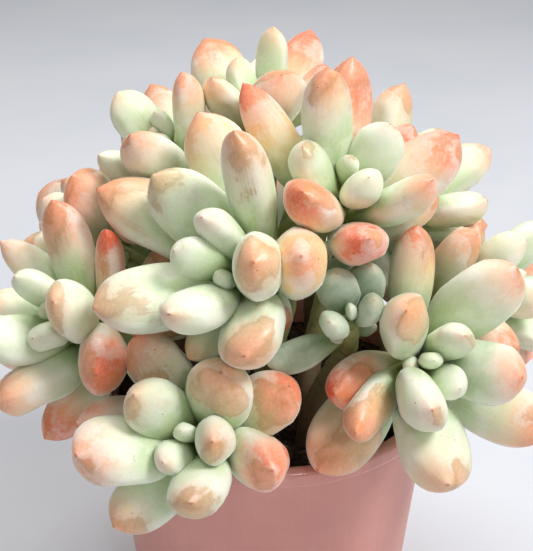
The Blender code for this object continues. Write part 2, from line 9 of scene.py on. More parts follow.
import bmesh
import bpy
import numpy as np
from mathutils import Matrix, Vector


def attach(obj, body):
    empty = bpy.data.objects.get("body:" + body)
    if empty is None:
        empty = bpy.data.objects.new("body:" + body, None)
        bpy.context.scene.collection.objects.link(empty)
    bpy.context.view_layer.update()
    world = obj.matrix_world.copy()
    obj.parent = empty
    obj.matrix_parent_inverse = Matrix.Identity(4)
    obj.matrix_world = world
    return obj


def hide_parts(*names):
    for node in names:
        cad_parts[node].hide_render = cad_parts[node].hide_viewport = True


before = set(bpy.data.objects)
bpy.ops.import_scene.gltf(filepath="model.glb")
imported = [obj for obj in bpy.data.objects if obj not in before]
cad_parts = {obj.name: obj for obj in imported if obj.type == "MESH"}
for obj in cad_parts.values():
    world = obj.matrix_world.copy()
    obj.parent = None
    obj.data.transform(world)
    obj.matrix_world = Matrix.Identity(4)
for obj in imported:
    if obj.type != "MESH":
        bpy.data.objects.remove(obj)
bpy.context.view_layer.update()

MM = 0.001

# Pot
POT_HEIGHT = 0.095
RIM_RADIUS = 0.055
RIM_BAND = 0.0062
RIM_OVERHANG = 0.0022
RIM_ROUND = 0.0020
BASE_RADIUS = 0.0440
WALL = 0.0022
FLOOR = 0.0030
FOOT_ROUND = 0.0016

# Soil
SOIL_TOP = 0.086
SOIL_MOUND = 0.0015
CLEARANCE = 0.0003

# Stems
STEM_RADIUS = 0.0036
STEM_DEPTH = 0.010
STEM_SPACING = 0.55
STEM_PULL = 0.4
STEM_BARE_TOP = 0.002
STEM_BARE_FOOT = 0.002
STEM_END_DROP = 0.001
STEM_POINTS = 7
FINE_POINTS = 4

# Leaves: sizes are shares of the leaf's length, and angles are in degrees
GOLDEN_TURN = 137.5
RANK_STEP = 0.0019
STEM_OFFSET = 0.0024
BUD_OFFSET_SHARE = 0.2
OFFSET_RANKS = 4
INNER_SPREAD = 12
OUTER_SPREAD = 80
OUTER_RANK = 13
SPREAD_POWER = 0.85
BUD_LOSS = 0.72
GROWTH_RANKS = 3
LEAF_WIDTH = 0.61
WIDTH_LOSS = 0.011
LEAF_THICKNESS = 0.42
BUD_PLUMPNESS = 1.12
BUD_RANKS = 3
LEAF_BEND = 22
WIDEST = 0.57
ROOT_WIDTH = 0.38
ROOT_POWER = 1.4
TIP_FULLNESS = 2.2
TIP_POWER = 0.6
UPPER_SIDE = 0.86
UNDER_SIDE = 1.14

# How far unposed leaves stray from the rule
SEED = 11
STRAY_ANGLE = 3
STRAY_BEND = 5
STRAY_LENGTH = 0.05
STRAY_WIDTH = 0.03


class Head(NamedTuple):
    """One leafy stem. Lengths are in millimetres and angles in degrees.

    facing is the azimuth from the front towards +X, then the elevation. first_turn is where the
    newest leaf points, counterclockwise from the right as seen from outside, and hand is the
    spiral's sense. shifts holds, by rank, how single leaves differ: see Shift.
    """
    apex: tuple
    facing: tuple
    first_turn: float
    hand: int
    leaves: int
    longest: float
    shifts: dict


class Shift(NamedTuple):
    """How a single leaf departs from the rule: more turn and spread, its size and width, a twist."""
    turn: float = 0
    spread: float = 0
    size: float = 1
    width: float = 1
    twist: float = 0


HEADS = {
    "head_front": Head((-20, -65, 113), (-14, 32), 94, 1, 13, 36, {
        1: (0, 4, 0.94), 2: (10, -4), 3: (0, 4, 1.02, 1.04, 10), 4: (12, -8, 1.04),
        5: (4, 0, 1.02, 1.08, 5), 6: (-14, -8, 1.16, 1.1, 40), 7: (16, -4, 1.02, 0.9, 30),
        8: (10, 8, 1.06, 0.94, -15), 9: (-18, -2, 0.98, 1, 10), 10: (-3, -8, 1.02, 1.05, 10),
        11: (14, -10, 1.04, 1, 5), 12: (30, -4, 0.8, 1.2, 0)}),
    "head_front_right": Head((42, -52, 128), (5, 25), 90, -1, 15, 37, {
        1: (12, 12, 0.88), 2: (0, 0, 0.42), 3: (16, -2, 0.82, 0.9, 10),
        4: (-16, -26, 1.1, 0.9, -30), 5: (-6, -6, 1.02, 0.9, 30), 6: (10, -4, 0.96, 1.04, -10),
        7: (2, -8, 1.1, 0.7, -35), 8: (-22, 0, 1.14, 0.94, 15), 9: (-22, -28, 1.18, 1, -30),
        10: (25, -8, 1, 0.95, -15), 11: (-10, -4, 0.8), 12: (-17, -10, 1.14),
        13: (-16, -8, 1.1, 0.76, 15), 14: (4, -18, 1.18, 1, 20)}),
    "head_centre": Head((-9, -49, 154), (-26, 25), 287, -1, 15, 38, {
        1: (8, 18, 1.1, 1, -10), 2: (12, 4, 1.14, 1.08, -10), 3: (24, -20, 1.26, 0.75, 10),
        4: (14, -2, 0.84, 0.88, -30), 5: (-10, 0, 1, 1.04), 6: (24, 2, 1.24, 0.86, 25),
        7: (48, 4, 1.22, 0.7, -35), 8: (-22, 8, 0.78, 0.84, 5), 9: (12, -2, 1.06, 0.96, 5),
        10: (30, -28, 0.98, 1, -5), 12: (44, -2, 1.26, 0.9, 15),
        13: (0, 0, 0.35), 14: (2, -18, 1.46, 0.86, 40)}),
    "head_upper_right": Head((20, -32, 172), (2, 58), 88, -1, 14, 36, {
        1: (-10, 12, 1.1, 1.04, 10), 2: (-14, 6, 0.98), 3: (6, 8, 0.9, 1.03, 30),
        4: (-30, 2, 1.06, 0.92), 5: (-4, -18, 1.32, 0.7, 25), 6: (-12, -8, 1.1, 0.7, -15),
        7: (0, 0, 0.4), 8: (22, -22, 1.26, 0.76, 50), 9: (-10, -18, 1.02, 0.84, -5),
        10: (-26, -2, 1.32, 0.56, -15), 11: (12, -10, 1.14, 0.96, -10),
        12: (0, 0, 0.45), 13: (-64, 8, 1, 1.05, 30)}),
    "head_left": Head((-59, -28, 130), (-38, 36), 60, -1, 15, 36, {
        1: (12, 10, 1.02, 1.04, -5), 2: (-12, -6, 1.02, 0.8, -15), 3: (10, -14, 1.06, 1.1, 20),
        4: (22, -12, 1.06, 0.98), 5: (22, 24, 1.14, 0.84, -10), 6: (26, 8, 1.08, 0.96, 35),
        8: (32, -4, 1.02, 0.58, -15), 9: (6, -22, 1.14, 0.9, 20), 10: (32, -12, 1.16, 0.6, 5),
        14: (-30, -12, 1, 0.92, -10)}),
    "head_small": Head((21, -50, 142), (-5, 49), 90, 1, 9, 25, {
        1: (-2, 12, 1.14, 1.04, -5), 2: (8, 0, 0.98, 0.9, -15), 3: (-26, -10, 1.04, 1.04, -20),
        4: (-50, 0, 0.36), 5: (12, -4, 0.98), 6: (16, 40, 1.04, 0.82, -5),
        7: (40, 0, 0.3), 8: (-6, 4, 1)}),
    "head_upper_left": Head((-32, 15, 167), (-66, 62), 255, -1, 12, 36, {
        0: (0, 0, 0.7), 1: (0, 0, 0.7), 2: (0, 0, 0.5), 3: (-6, -6, 0.96), 4: (-6, -2, 1.16, 0.76),
        5: (6, 2, 0.92, 0.8), 6: (10, 12, 1.04, 0.8), 7: (-40, -17, 1.14, 0.8), 8: (0, 0, 0.7)}),
    "head_top": Head((-2, 27, 176), (-12, 76), 45, 1, 12, 36, {
        2: (-18, 18, 1.36), 3: (-16, -4, 1.04, 0.75, -25), 4: (0, 2, 1.06, 0.8),
        5: (-16, -2, 0.98, 0.86, -15), 6: (-8, 8, 1.06, 1.1), 8: (8, -2, 1.14, 0.8, 5),
        11: (-2, -22, 1, 0.8, 10)}),
    "head_right_shoulder": Head((45, 7, 154), (68, 40), 315, -1, 12, 36, {
        3: (-6, -8), 4: (-1, 7, 1.2, 0.85), 5: (4, -4, 1.12, 0.82, -30),
        7: (-6, 2, 1.15, 0.86, 20)}),
    "head_right": Head((70, -9, 130), (71, 20), 90, -1, 12, 36, {
        5: (-12, -4, 0.88, 0.92), 6: (6, -4, 0.82, 0.82, 5), 7: (0, 0, 0.85), 8: (0, 0, 0.65),
        10: (-37, -9, 1, 0.95)}),
    "head_left_shoulder": Head((-61, 17, 138), (-93, 33), 165, -1, 11, 36, {
        2: (0, 0, 0.7), 3: (20, 0, 0.75), 5: (-2, 6, 1.1, 1.06, -5), 6: (-8, 8, 1.06, 1.04),
        9: (0, 0, 0.65)}),
    "head_back_left": Head((-50, 48, 118), (-134, 18), 60, -1, 11, 34, {8: (0, 0, 0.7)}),
    "head_back": Head((0, 70, 124), (180, 20), 10, 1, 12, 34, {8: (0, 0, 0.7)}),
    "head_back_right": Head((50, 48, 122), (134, 18), 150, -1, 12, 34, {11: (0, 0, 0.7)}),
    "head_rear_right": Head((29, 54, 150), (150, 38), 90, 1, 12, 33, {}),
    "head_rear_left": Head((-29, 57, 148), (-155, 36), 200, -1, 12, 33, {9: (0, 0, 0.6)}),
}

# Settling: how leaves give way to each other until they lie clear
SETTLE_STEPS = 150
HEAD_GAP = 0.0011
TOUCH_DEPTH = 0.0004
POSED_TOUCH_DEPTH = 0.0030
STEM_GAP = 0.0009
POT_GAP = 0.0014
RIM_SPAN = 0.0025
RIM_EDGE = 0.003
SOIL_EDGE = 0.005
DEEPEST_PUSH = 0.006
HEAD_SQUEEZE = 0.0020
OTHER_SQUEEZE = 0.0003
FIXED_SQUEEZE = 0.0006
NEIGHBOUR_SPAN = 0.62
NEIGHBOUR_MARGIN = 0.002
POT_GIRTH = 1.1
POT_PUSH = 2
STEM_GIRTH = 1.25
STEM_PUSH = 1.5
PUSH_SHARE = 0.5
LARGEST_PUSH = 0.25
SPRING_BACK = 0.02
TINY = 1e-9
CONTACT_SHARES = np.array([0.30, 0.42, 0.54, 0.66, 0.77])
CONTACT_LENGTHS = np.array([0.12, 0.12, 0.12, 0.12, 0.20])
ROOT_CONTACTS = 2
MIDDLE_CONTACT = 3
YOUNG_STIFFNESS = (0.15, 0.25, 0.30, 0.50, 0.60, 0.80)
POSED_STIFFNESS = 0.2
SHRINK_FROM = 40
SHRINK_EVERY = 3
SHRINK_BY = 0.985
SMALLEST = 0.55
SMALLEST_POSED = 0.88


def unit(vectors):
    return vectors / np.linalg.norm(vectors, axis=-1, keepdims=True)


def dot(a, b):
    return np.sum(a * b, axis=-1)


def facing_direction(azimuth, elevation):
    a = math.radians(azimuth)
    e = math.radians(elevation)
    return np.array([math.sin(a) * math.cos(e), -math.cos(a) * math.cos(e), math.sin(e)])


def head_frame(head):
    """The head's axis, and its right and up as a viewer in front of it sees them."""
    axis = facing_direction(*head.facing)
    right = unit(np.cross([0, 0, 1], axis))
    return axis, right, np.cross(axis, right)


def leaf_spread(rank):
    """Angle between the head's axis and a leaf, from upright newest to drooping oldest."""
    return INNER_SPREAD + OUTER_SPREAD * (rank / OUTER_RANK) ** SPREAD_POWER


def leaf_growth(rank):
    """Share of full length that a leaf has reached."""
    return 1 - BUD_LOSS * math.exp(-rank / GROWTH_RANKS)


def leaf_profile(u):
    """Half width along the leaf, 1 at its widest, as a share of the largest."""
    rise = np.clip(u / WIDEST, 0, 1)
    fall = np.clip((u - WIDEST) / (1 - WIDEST), 0, 1)
    lower = ROOT_WIDTH + (1 - ROOT_WIDTH) * np.sin(math.pi / 2 * rise) ** ROOT_POWER
    upper = (1 - fall ** TIP_FULLNESS) ** TIP_POWER
    return np.where(u < WIDEST, lower, upper)


class Foliage:
    """All leaves of the plant as arrays, one row a leaf."""

    def __init__(self):
        rng = np.random.default_rng(SEED)
        rows = []
        for number, head in enumerate(HEADS.values()):
            rows += [self.leaf_row(number, head, rank, rng) for rank in range(head.leaves)]
        columns = [np.array(column) for column in zip(*rows)]
        self.head, self.rank, self.base, self.axis, self.natural = columns[:5]
        self.length, self.width, self.thickness, self.bend, self.twist, self.posed = columns[5:]
        self.direction = self.natural.copy()
        self.full_length = self.length.copy()

    @staticmethod
    def leaf_row(number, head, rank, rng):
        axis, right, up = head_frame(head)
        shift = Shift(*head.shifts.get(rank, ()))
        posed = rank in head.shifts
        turn_draw, spread_draw, length_draw, width_draw, bend_draw = rng.normal(size=5) * (not posed)
        turn = math.radians(head.first_turn + shift.turn + head.hand * GOLDEN_TURN * rank
                            + STRAY_ANGLE * turn_draw)
        spread = math.radians(leaf_spread(rank) + shift.spread + STRAY_ANGLE * spread_draw)
        outward = math.cos(turn) * right + math.sin(turn) * up
        direction = math.sin(spread) * outward + math.cos(spread) * axis
        length = MM * head.longest * leaf_growth(rank) * shift.size * (1 + STRAY_LENGTH * length_draw)
        offset = STEM_OFFSET * min(1, BUD_OFFSET_SHARE + rank / OFFSET_RANKS)
        base = MM * np.array(head.apex) - RANK_STEP * rank * axis + offset * outward
        plump = BUD_PLUMPNESS if rank < BUD_RANKS else 1
        width_share = (LEAF_WIDTH - WIDTH_LOSS * rank) * shift.width + STRAY_WIDTH * width_draw
        return (number, rank, base, axis, direction, length, length * width_share,
                length * LEAF_THICKNESS * shift.width * plump,
                math.radians(LEAF_BEND + STRAY_BEND * bend_draw), math.radians(shift.twist), posed)

    def centreline(self, u):
        """Points, tangents, upper-side normals and sideways units along each leaf's arc."""
        forward = self.direction
        rise = unit(self.axis - dot(self.axis, forward)[:, None] * forward)
        side = np.cross(rise, forward)[:, None]
        angle = (self.bend[:, None] * u)[..., None]
        radius = (self.length / self.bend)[:, None, None]
        forward, rise = forward[:, None], rise[:, None]
        points = self.base[:, None] + radius * (np.sin(angle) * forward + (1 - np.cos(angle)) * rise)
        tangents = np.cos(angle) * forward + np.sin(angle) * rise
        normals = np.cos(angle) * rise - np.sin(angle) * forward
        turn = self.twist[:, None, None]
        return (points, tangents, np.cos(turn) * normals - np.sin(turn) * side,
                np.cos(turn) * side + np.sin(turn) * normals)

    def scale(self, share):
        self.length = self.length * share
        self.width = self.width * share
        self.thickness = self.thickness * share


def stem_route(head):
    """From its foot in the soil straight up, in a smooth curve, then along the head's axis."""
    axis = head_frame(head)[0]
    apex = MM * np.array(head.apex)
    leafy = RANK_STEP * head.leaves + STEM_BARE_TOP
    foot = np.array([*(STEM_SPACING * apex[:2]), SOIL_TOP - STEM_DEPTH])
    start = foot + [0, 0, STEM_DEPTH + STEM_BARE_FOOT]
    end = apex - leafy * axis
    reach = STEM_PULL * np.linalg.norm(end - start)
    t = np.linspace(0, 1, STEM_POINTS)[:, None]
    curve = ((1 - t) ** 3 * start + 3 * (1 - t) ** 2 * t * (start + [0, 0, reach])
             + 3 * (1 - t) * t ** 2 * (end - reach * axis) + t ** 3 * end)
    return np.vstack([foot, curve, apex - STEM_END_DROP * axis])


def section_reach(toward, frames, foliage, leaf, share):
    """How far a leaf's section at a contact share reaches along a direction."""
    tangent, normal, side = [part[leaf][:, share] for part in frames]
    outline = leaf_profile(CONTACT_SHARES[share])
    length = foliage.length[leaf][:, None]
    above = dot(toward, normal)
    half_width = foliage.width[leaf][:, None] / 2 * outline
    half_depth = foliage.thickness[leaf][:, None] / 2 * outline
    half_depth = half_depth * np.where(above > 0, UPPER_SIDE, UNDER_SIDE)
    return np.sqrt((half_width * dot(toward, side)) ** 2 + (half_depth * above) ** 2
                   + (CONTACT_LENGTHS[share] * length * dot(toward, tangent)) ** 2)


def spread_push(depth):
    """Share each push among a leaf's contacts by depth."""
    return depth * depth / (depth.sum(axis=1, keepdims=True) + TINY)


def leaf_pushes(foliage, points, *frames):
    """Turning pushes between neighbouring leaves, and each leaf's deepest squeeze."""
    first_share, second_share = np.indices(2 * CONTACT_SHARES.shape).reshape(2, -1)
    middle = points[:, MIDDLE_CONTACT]
    apart = np.linalg.norm(middle[:, None] - middle, axis=2)
    span = NEIGHBOUR_SPAN * foliage.length
    first, second = np.nonzero(np.triu(apart < span[:, None] + span + NEIGHBOUR_MARGIN, 1))
    same_head = foliage.head[first] == foliage.head[second]
    offset = points[first][:, first_share] - points[second][:, second_share]
    distance = np.linalg.norm(offset, axis=2) + TINY
    toward = offset / distance[..., None]
    ends = ((first, first_share, 1), (second, second_share, -1))
    reach = sum(section_reach(sign * toward, frames, foliage, leaf, share) for leaf, share, sign in ends)
    both_posed = foliage.posed[first] & foliage.posed[second]
    touch = np.where(both_posed, POSED_TOUCH_DEPTH, TOUCH_DEPTH)
    wanted = np.where(same_head, -touch, HEAD_GAP)[:, None]
    depth = np.clip(reach + wanted - distance, 0, DEEPEST_PUSH)
    both_near_root = (first_share < ROOT_CONTACTS) & (second_share < ROOT_CONTACTS)
    depth[same_head[:, None] & both_near_root] = 0
    push = spread_push(depth)
    pushes = np.zeros_like(foliage.direction)
    for leaf, share, sign in ends:
        lever = foliage.length[leaf][:, None] * CONTACT_SHARES[share]
        np.add.at(pushes, leaf, sign * (toward * (push / lever)[..., None]).sum(axis=1))
    squeeze = np.zeros(len(foliage.length))
    excess = depth.max(axis=1) - np.where(same_head, HEAD_SQUEEZE, OTHER_SQUEEZE)
    np.maximum.at(squeeze, first, excess)
    np.maximum.at(squeeze, second, excess)
    return pushes, squeeze


def pot_depths(points, radius):
    """Vectors that lift points of a radius out of the rim, the wall and the soil."""
    across = np.hypot(points[..., 0], points[..., 1]) + TINY
    height = points[..., 2]
    radial = np.stack([points[..., 0] / across, points[..., 1] / across, 0 * across], axis=-1)
    upward = np.array([0, 0, 1.0])
    rim_across = across - (RIM_RADIUS - RIM_SPAN)
    rim_height = height - (POT_HEIGHT - RIM_SPAN)
    rim_distance = np.hypot(rim_across, rim_height) + TINY
    over_rim = np.maximum(radius + RIM_SPAN + POT_GAP - rim_distance, 0) * (rim_height > 0) / rim_distance
    lift = over_rim[..., None] * (rim_across[..., None] * radial + rim_height[..., None] * upward)
    taper = (RIM_RADIUS - BASE_RADIUS) / POT_HEIGHT
    wall = RIM_RADIUS - taper * np.maximum(POT_HEIGHT - height, 0)
    beside = (rim_height <= 0) & (across > RIM_RADIUS - RIM_EDGE)
    lift += (np.maximum(wall + radius + POT_GAP - across, 0) * beside)[..., None] * radial
    inside = across <= RIM_RADIUS - SOIL_EDGE
    floor = SOIL_TOP + SOIL_MOUND
    lift += (np.maximum(floor + radius + POT_GAP - height, 0) * inside)[..., None] * upward
    return lift


def fixed_pushes(foliage, points, stems):
    """Turning pushes away from the pot, the soil and other heads' stems, and the squeeze."""
    radius = foliage.thickness[:, None] / 2 * leaf_profile(CONTACT_SHARES)
    lever = foliage.length[:, None] * CONTACT_SHARES
    lift = pot_depths(points, POT_GIRTH * radius)
    depth = np.linalg.norm(lift, axis=2)
    share = depth / (depth.sum(axis=1, keepdims=True) + TINY)
    pushes = POT_PUSH * (lift * (share / lever)[..., None]).sum(axis=1)
    squeeze = depth.max(axis=1)
    for number, route in enumerate(stems):
        others = np.nonzero(foliage.head != number)[0]
        offset = points[others][:, :, None] - route
        distance = np.linalg.norm(offset, axis=3)
        nearest = distance.argmin(axis=2)[..., None]
        distance = np.take_along_axis(distance, nearest, axis=2)[..., 0]
        offset = np.take_along_axis(offset, nearest[..., None], axis=2)[:, :, 0]
        depth = np.maximum(STEM_GIRTH * radius[others] + STEM_RADIUS + STEM_GAP - distance, 0)
        push = spread_push(depth) / (distance * lever[others])
        pushes[others] += STEM_PUSH * (offset * push[..., None]).sum(axis=1)
        squeeze[others] = np.maximum(squeeze[others], depth.max(axis=1))
    return pushes, squeeze - FIXED_SQUEEZE


def fine_route(head):
    """The stem's route with points close together, to measure distances from."""
    route = stem_route(head)
    places = np.linspace(0, len(route) - 1, FINE_POINTS * len(route))
    return np.stack([np.interp(places, np.arange(len(route)), column) for column in route.T], axis=1)


def settle(foliage):
    """Turn leaves about their roots until they lie clear, and shrink those still squeezed."""
    stems = [fine_route(head) for head in HEADS.values()]
    yielding = np.ones(len(foliage.length))
    for rank, share in enumerate(YOUNG_STIFFNESS):
        yielding[foliage.rank == rank] = share
    yielding[foliage.posed] *= POSED_STIFFNESS
    smallest = np.where(foliage.posed, SMALLEST_POSED, SMALLEST)
    for step in range(SETTLE_STEPS):
        points, *frames = foliage.centreline(CONTACT_SHARES)
        pushes, squeeze = leaf_pushes(foliage, points, *frames)
        fixed, fixed_squeeze = fixed_pushes(foliage, points, stems)
        pushes += fixed
        pushes -= dot(pushes, foliage.direction)[:, None] * foliage.direction
        size = np.linalg.norm(pushes, axis=1) + TINY
        pushes *= (PUSH_SHARE * yielding * np.minimum(1, LARGEST_PUSH / size))[:, None]
        back = SPRING_BACK * (foliage.natural - foliage.direction)
        foliage.direction = unit(foliage.direction + pushes + back)
        if step > SHRINK_FROM and step % SHRINK_EVERY == 0:
            squeezed = np.maximum(squeeze, fixed_squeeze) > 0
            can_shrink = foliage.length > smallest * foliage.full_length
            foliage.scale(np.where(squeezed & can_shrink, SHRINK_BY, 1))


def arc(centre_x, centre_z, radius, start, end, count):
    """Points on a circle's arc from a start to an end angle in degrees."""
    angles = np.radians(np.linspace(start, end, count))
    return [(centre_x + radius * math.cos(a), centre_z + radius * math.sin(a)) for a in angles]


def wall_radius(height):
    """The pot's outer radius below its rim band."""
    top_radius = RIM_RADIUS - RIM_OVERHANG
    return BASE_RADIUS + (top_radius - BASE_RADIUS) * height / POT_HEIGHT


def inner_radius(height, margin=CLEARANCE):
    return wall_radius(height) - WALL - margin


def pot_profile(corner_points):
    """The pot's section from the middle of its floor over the rim and down to its base."""
    inner_top = RIM_RADIUS - RIM_OVERHANG - WALL
    band_foot = POT_HEIGHT - RIM_BAND
    profile = [(0, FLOOR), (wall_radius(FLOOR) - WALL, FLOOR), (inner_top, POT_HEIGHT - RIM_ROUND)]
    profile += arc(inner_top + RIM_ROUND, POT_HEIGHT - RIM_ROUND, RIM_ROUND, 150, 90, corner_points)
    profile += arc(RIM_RADIUS - RIM_ROUND, POT_HEIGHT - RIM_ROUND, RIM_ROUND, 90, 0, corner_points)
    profile += arc(RIM_RADIUS - RIM_ROUND, band_foot + RIM_ROUND, RIM_ROUND, 0, -90, corner_points)
    profile.append((wall_radius(band_foot), band_foot))
    profile += arc(BASE_RADIUS - FOOT_ROUND, FOOT_ROUND, FOOT_ROUND, 0, -90, corner_points)
    profile.append((0, 0))
    return profile


# Fine leaves: lengths are shares of the leaf's own sizes, and a span is where a change starts and ends
FINE_SIDES = 32
FINE_RINGS = 36
LEAF_SEED = SEED + 100
POINT_FULLNESS = 2.8
POINT_POWER = 0.65
POINT_LENGTH = 0.016
POINT_SHARE = 0.26
POINT_SHARPNESS = 1.3
SKIN_INSET = 0.02
EDGE_RISE = 0.035
EDGE_WIDTH = 0.30
EDGE_SPAN = (0.15, 0.6)
KEEL_RISE = 0.05
KEEL_WIDTH = 0.40
KEEL_SPAN = (0.5, 0.92)
FACETS = 3
FACET_SHARE = 0.87
FACET_PRESS = 0.75
FACET_MIDDLES = (0.45, 0.9)
FACET_LEAN = 0.35
FACET_START, FACET_FULL = 0.45, 0.15
WAVES = 3
WAVE_TURNS = (1, 3)
WAVE_TWIST = 5
WAVE_SHARE = 0.012
PLANT_MIDDLE = np.array([0, 0, 0.115])

# How pink, how yellow (below 0, how much painted shade, as a darker blue-green) and how rubbed single
# leaves are, in hundredths
TONES = {
    "head_front": {
        0: (5, 0, 10), 1: (25, 0, 10), 2: (25, 10, 50), 3: (25, 30, 55),
        4: (25, 10, 60), 5: (42, 30, 70), 6: (45, 0, 25), 7: (75, 10, 50),
        8: (60, 10, 50), 9: (38, 20, 62), 10: (75, 20, 60), 11: (60, 0, 50),
        12: (100, 0, 20)},
    "head_front_right": {
        0: (0, 0, 0), 1: (5, 0, 10), 2: (5, 0, 10), 3: (10, 10, 30), 4: (20, 0, 30),
        # Rank 6 is below 0 on yellow: painted shade, a darker blue-green
        5: (35, 30, 80), 6: (35, -30, 25), 7: (55, 30, 90), 8: (40, 10, 35),
        9: (35, 30, 60), 10: (115, 10, 60), 11: (70, 10, 50), 12: (60, 20, 90),
        13: (75, 80, 35), 14: (60, 40, 60)},
    "head_centre": {
        0: (0, 0, 0), 1: (5, 0, 15), 2: (35, 30, 80), 3: (22, 10, 45), 4: (20, 0, 20),
        5: (40, 30, 70), 6: (30, 5, 60), 7: (40, 30, 62), 8: (40, 60, 30),
        9: (20, 20, 55), 10: (54, 100, 15), 12: (50, 90, 30), 14: (48, 40, 60)},
    "head_upper_right": {
        0: (0, 0, 0), 1: (10, 0, 10), 2: (20, 10, 70), 3: (10, 0, 5), 4: (85, 50, 60),
        5: (50, 40, 80), 6: (50, 40, 40), 8: (100, 0, 60), 9: (100, 70, 30),
        10: (85, 100, 10), 11: (85, 30, 30), 13: (60, 80, 40)},
    "head_left": {
        0: (0, 0, 0), 1: (5, 0, 10), 2: (10, 0, 20), 3: (30, 20, 85), 4: (10, 0, 30),
        5: (75, 20, 70), 6: (80, 20, 40), 8: (115, 10, 40), 9: (50, 30, 70),
        10: (40, 30, 50), 14: (95, 10, 60)},
    # The small head deep inside the plant: its dark blue-green with little bloom is painted shade
    "head_small": {
        0: (0, -50, 0), 1: (0, -60, 0), 2: (0, -80, 10), 3: (0, -80, 0), 4: (0, -90, 0),
        5: (0, -100, 0), 6: (5, -60, 5), 7: (0, -100, 0), 8: (0, -100, 0)},
    "head_upper_left": {
        3: (30, 30, 40), 4: (50, 80, 20), 5: (10, 0, 10), 6: (60, 10, 60),
        7: (45, 10, 70)},
    "head_top": {
        1: (30, 50, 10), 2: (40, 10, 60), 3: (30, 60, 30), 4: (40, 60, 50),
        5: (60, 0, 50), 6: (65, 40, 80), 8: (90, 50, 30), 11: (10, 0, 10)},
    "head_right_shoulder": {
        3: (25, 0, 50), 4: (85, 60, 50), 5: (40, 10, 30), 7: (40, 40, 60),
        10: (80, 40, 50)},
    "head_right": {5: (20, 0, 20), 6: (70, 0, 40), 7: (60, 30, 60), 10: (50, 10, 90)},
    "head_left_shoulder": {5: (60, 0, 60), 6: (50, 20, 80)},
}

# The other leaves' tones, by age and chance
PINK_LEAST, PINK_BY_AGE, PINK_BY_CHANCE = 0.10, 0.55, 0.25
YELLOW_BY_AGE = 0.5
RUBBED_LEAST, RUBBED_BY_CHANCE = 0.2, 0.6

# The leaves' colours, on the 0 to 255 screen scale
# The olive green at the root is partly the leaf's own colour, partly painted light shining through the
# flesh and painted shade deep in the rosette
ROOT_GREEN_AND_PAINTED_LIGHT, MINT, PALE_GREEN = (166, 174, 92), (194, 213, 164), (219, 230, 198)
# The darker blue-green is painted shade for leaves deep in the plant
SHADE_BLUE_GREEN = (126, 150, 126)
CREAM, BUTTER = (240, 214, 192), (252, 220, 150)
PEACH, CORAL_RED = (245, 162, 120), (234, 94, 50)
OLIVE_SKIN, TAN_SKIN, YELLOW_SKIN = (172, 170, 104), (206, 162, 108), (248, 212, 150)
PEACH_SKIN, PATCH_BORDER, POWDER = (246, 152, 106), (158, 122, 70), (246, 246, 236)

# Each blush: where it begins on a leaf with no pink, how far pink brings it down, and its span
CREAM_BLUSH = (1.0, 0.68, (-0.12, 0.24))
PEACH_BLUSH = (1.08, 0.55, (-0.10, 0.26))
RED_BLUSH = (1.16, 0.42, (-0.08, 0.30))

# What rubs the leaves' bloom off, and how far the skin shows then
EXPOSED_WEAR, NOISE_WEAR, STREAK_WEAR, RUBBED_WEAR = 0.75, 0.9, 0.4, 0.72
WORN_SPAN, WORN_STRENGTH = (0.70, 1.12), 0.56
BARE_SPAN, BARE_STRENGTH = (0.94, 1.03), 0.46

# Stems
STEM_TAPER = 0.18
STEM_RIPPLE, STEM_RIPPLE_STEP = 0.03, 2.4

# Soil and the grains on it
SOIL_SECTORS = 160
SOIL_RINGS = 60
SOIL_ROUGH = 0.0011
SOIL_ROLL, SOIL_CRUMB = 0.45, 0.35
SOIL_WAVES = ((120, 40, 0.3), (-70, 150, 1.7), (210, -160, 4.1), (330, 260, 2.2), (-420, 510, 5.0))
WAVE_SCALE = 120
MOUND_RADIUS = 0.05
GRAINS = 1100
GRAIN_SEED = SEED + 5
GRAIN_SIZES = (0.0007, 0.0022)
GRAIN_SKEW = (1.2, 3)
GRAIN_STRETCH = (0.65, 1.25)
GRAIN_MARGIN = 0.001
GRAIN_LIFT = 0.25
LUMP_SHARE, LUMP_PITCH = 0.13, 2.5
PALE_FROM, PALE_LEAST = 0.90, 0.5
TONE_SKEW = 1.5

# Pot and floor
POT_TURN_STEPS = 180
BAND_BLEND = 0.0004

# Lights, each by its place, size and power
LIGHTS = {"key": ((0.60, -0.34, 1.05), 0.42, 10.6),
          "front": ((0.32, -0.95, 0.80), 0.18, 1.5),
          "top": ((-0.1, 0.35, 1.1), 0.7, 6.6)}
LIGHT_AIM = Vector((0, 0, 0.12))

# The photograph's width and viewing angle
IMAGE_WIDTH = 533
FOCAL_PIXELS = 1130
CAMERA_TARGET = Vector((-0.0008, 0, 0.1295))
CAMERA_DISTANCE = 0.350
CAMERA_PITCH = 27


def srgb(*colour):
    """A colour on the 0 to 255 screen scale, as linear light."""
    parts = [part / 255 for part in colour]
    return (*[part / 12.92 if part <= 0.04045 else ((part + 0.055) / 1.055) ** 2.4 for part in parts], 1)


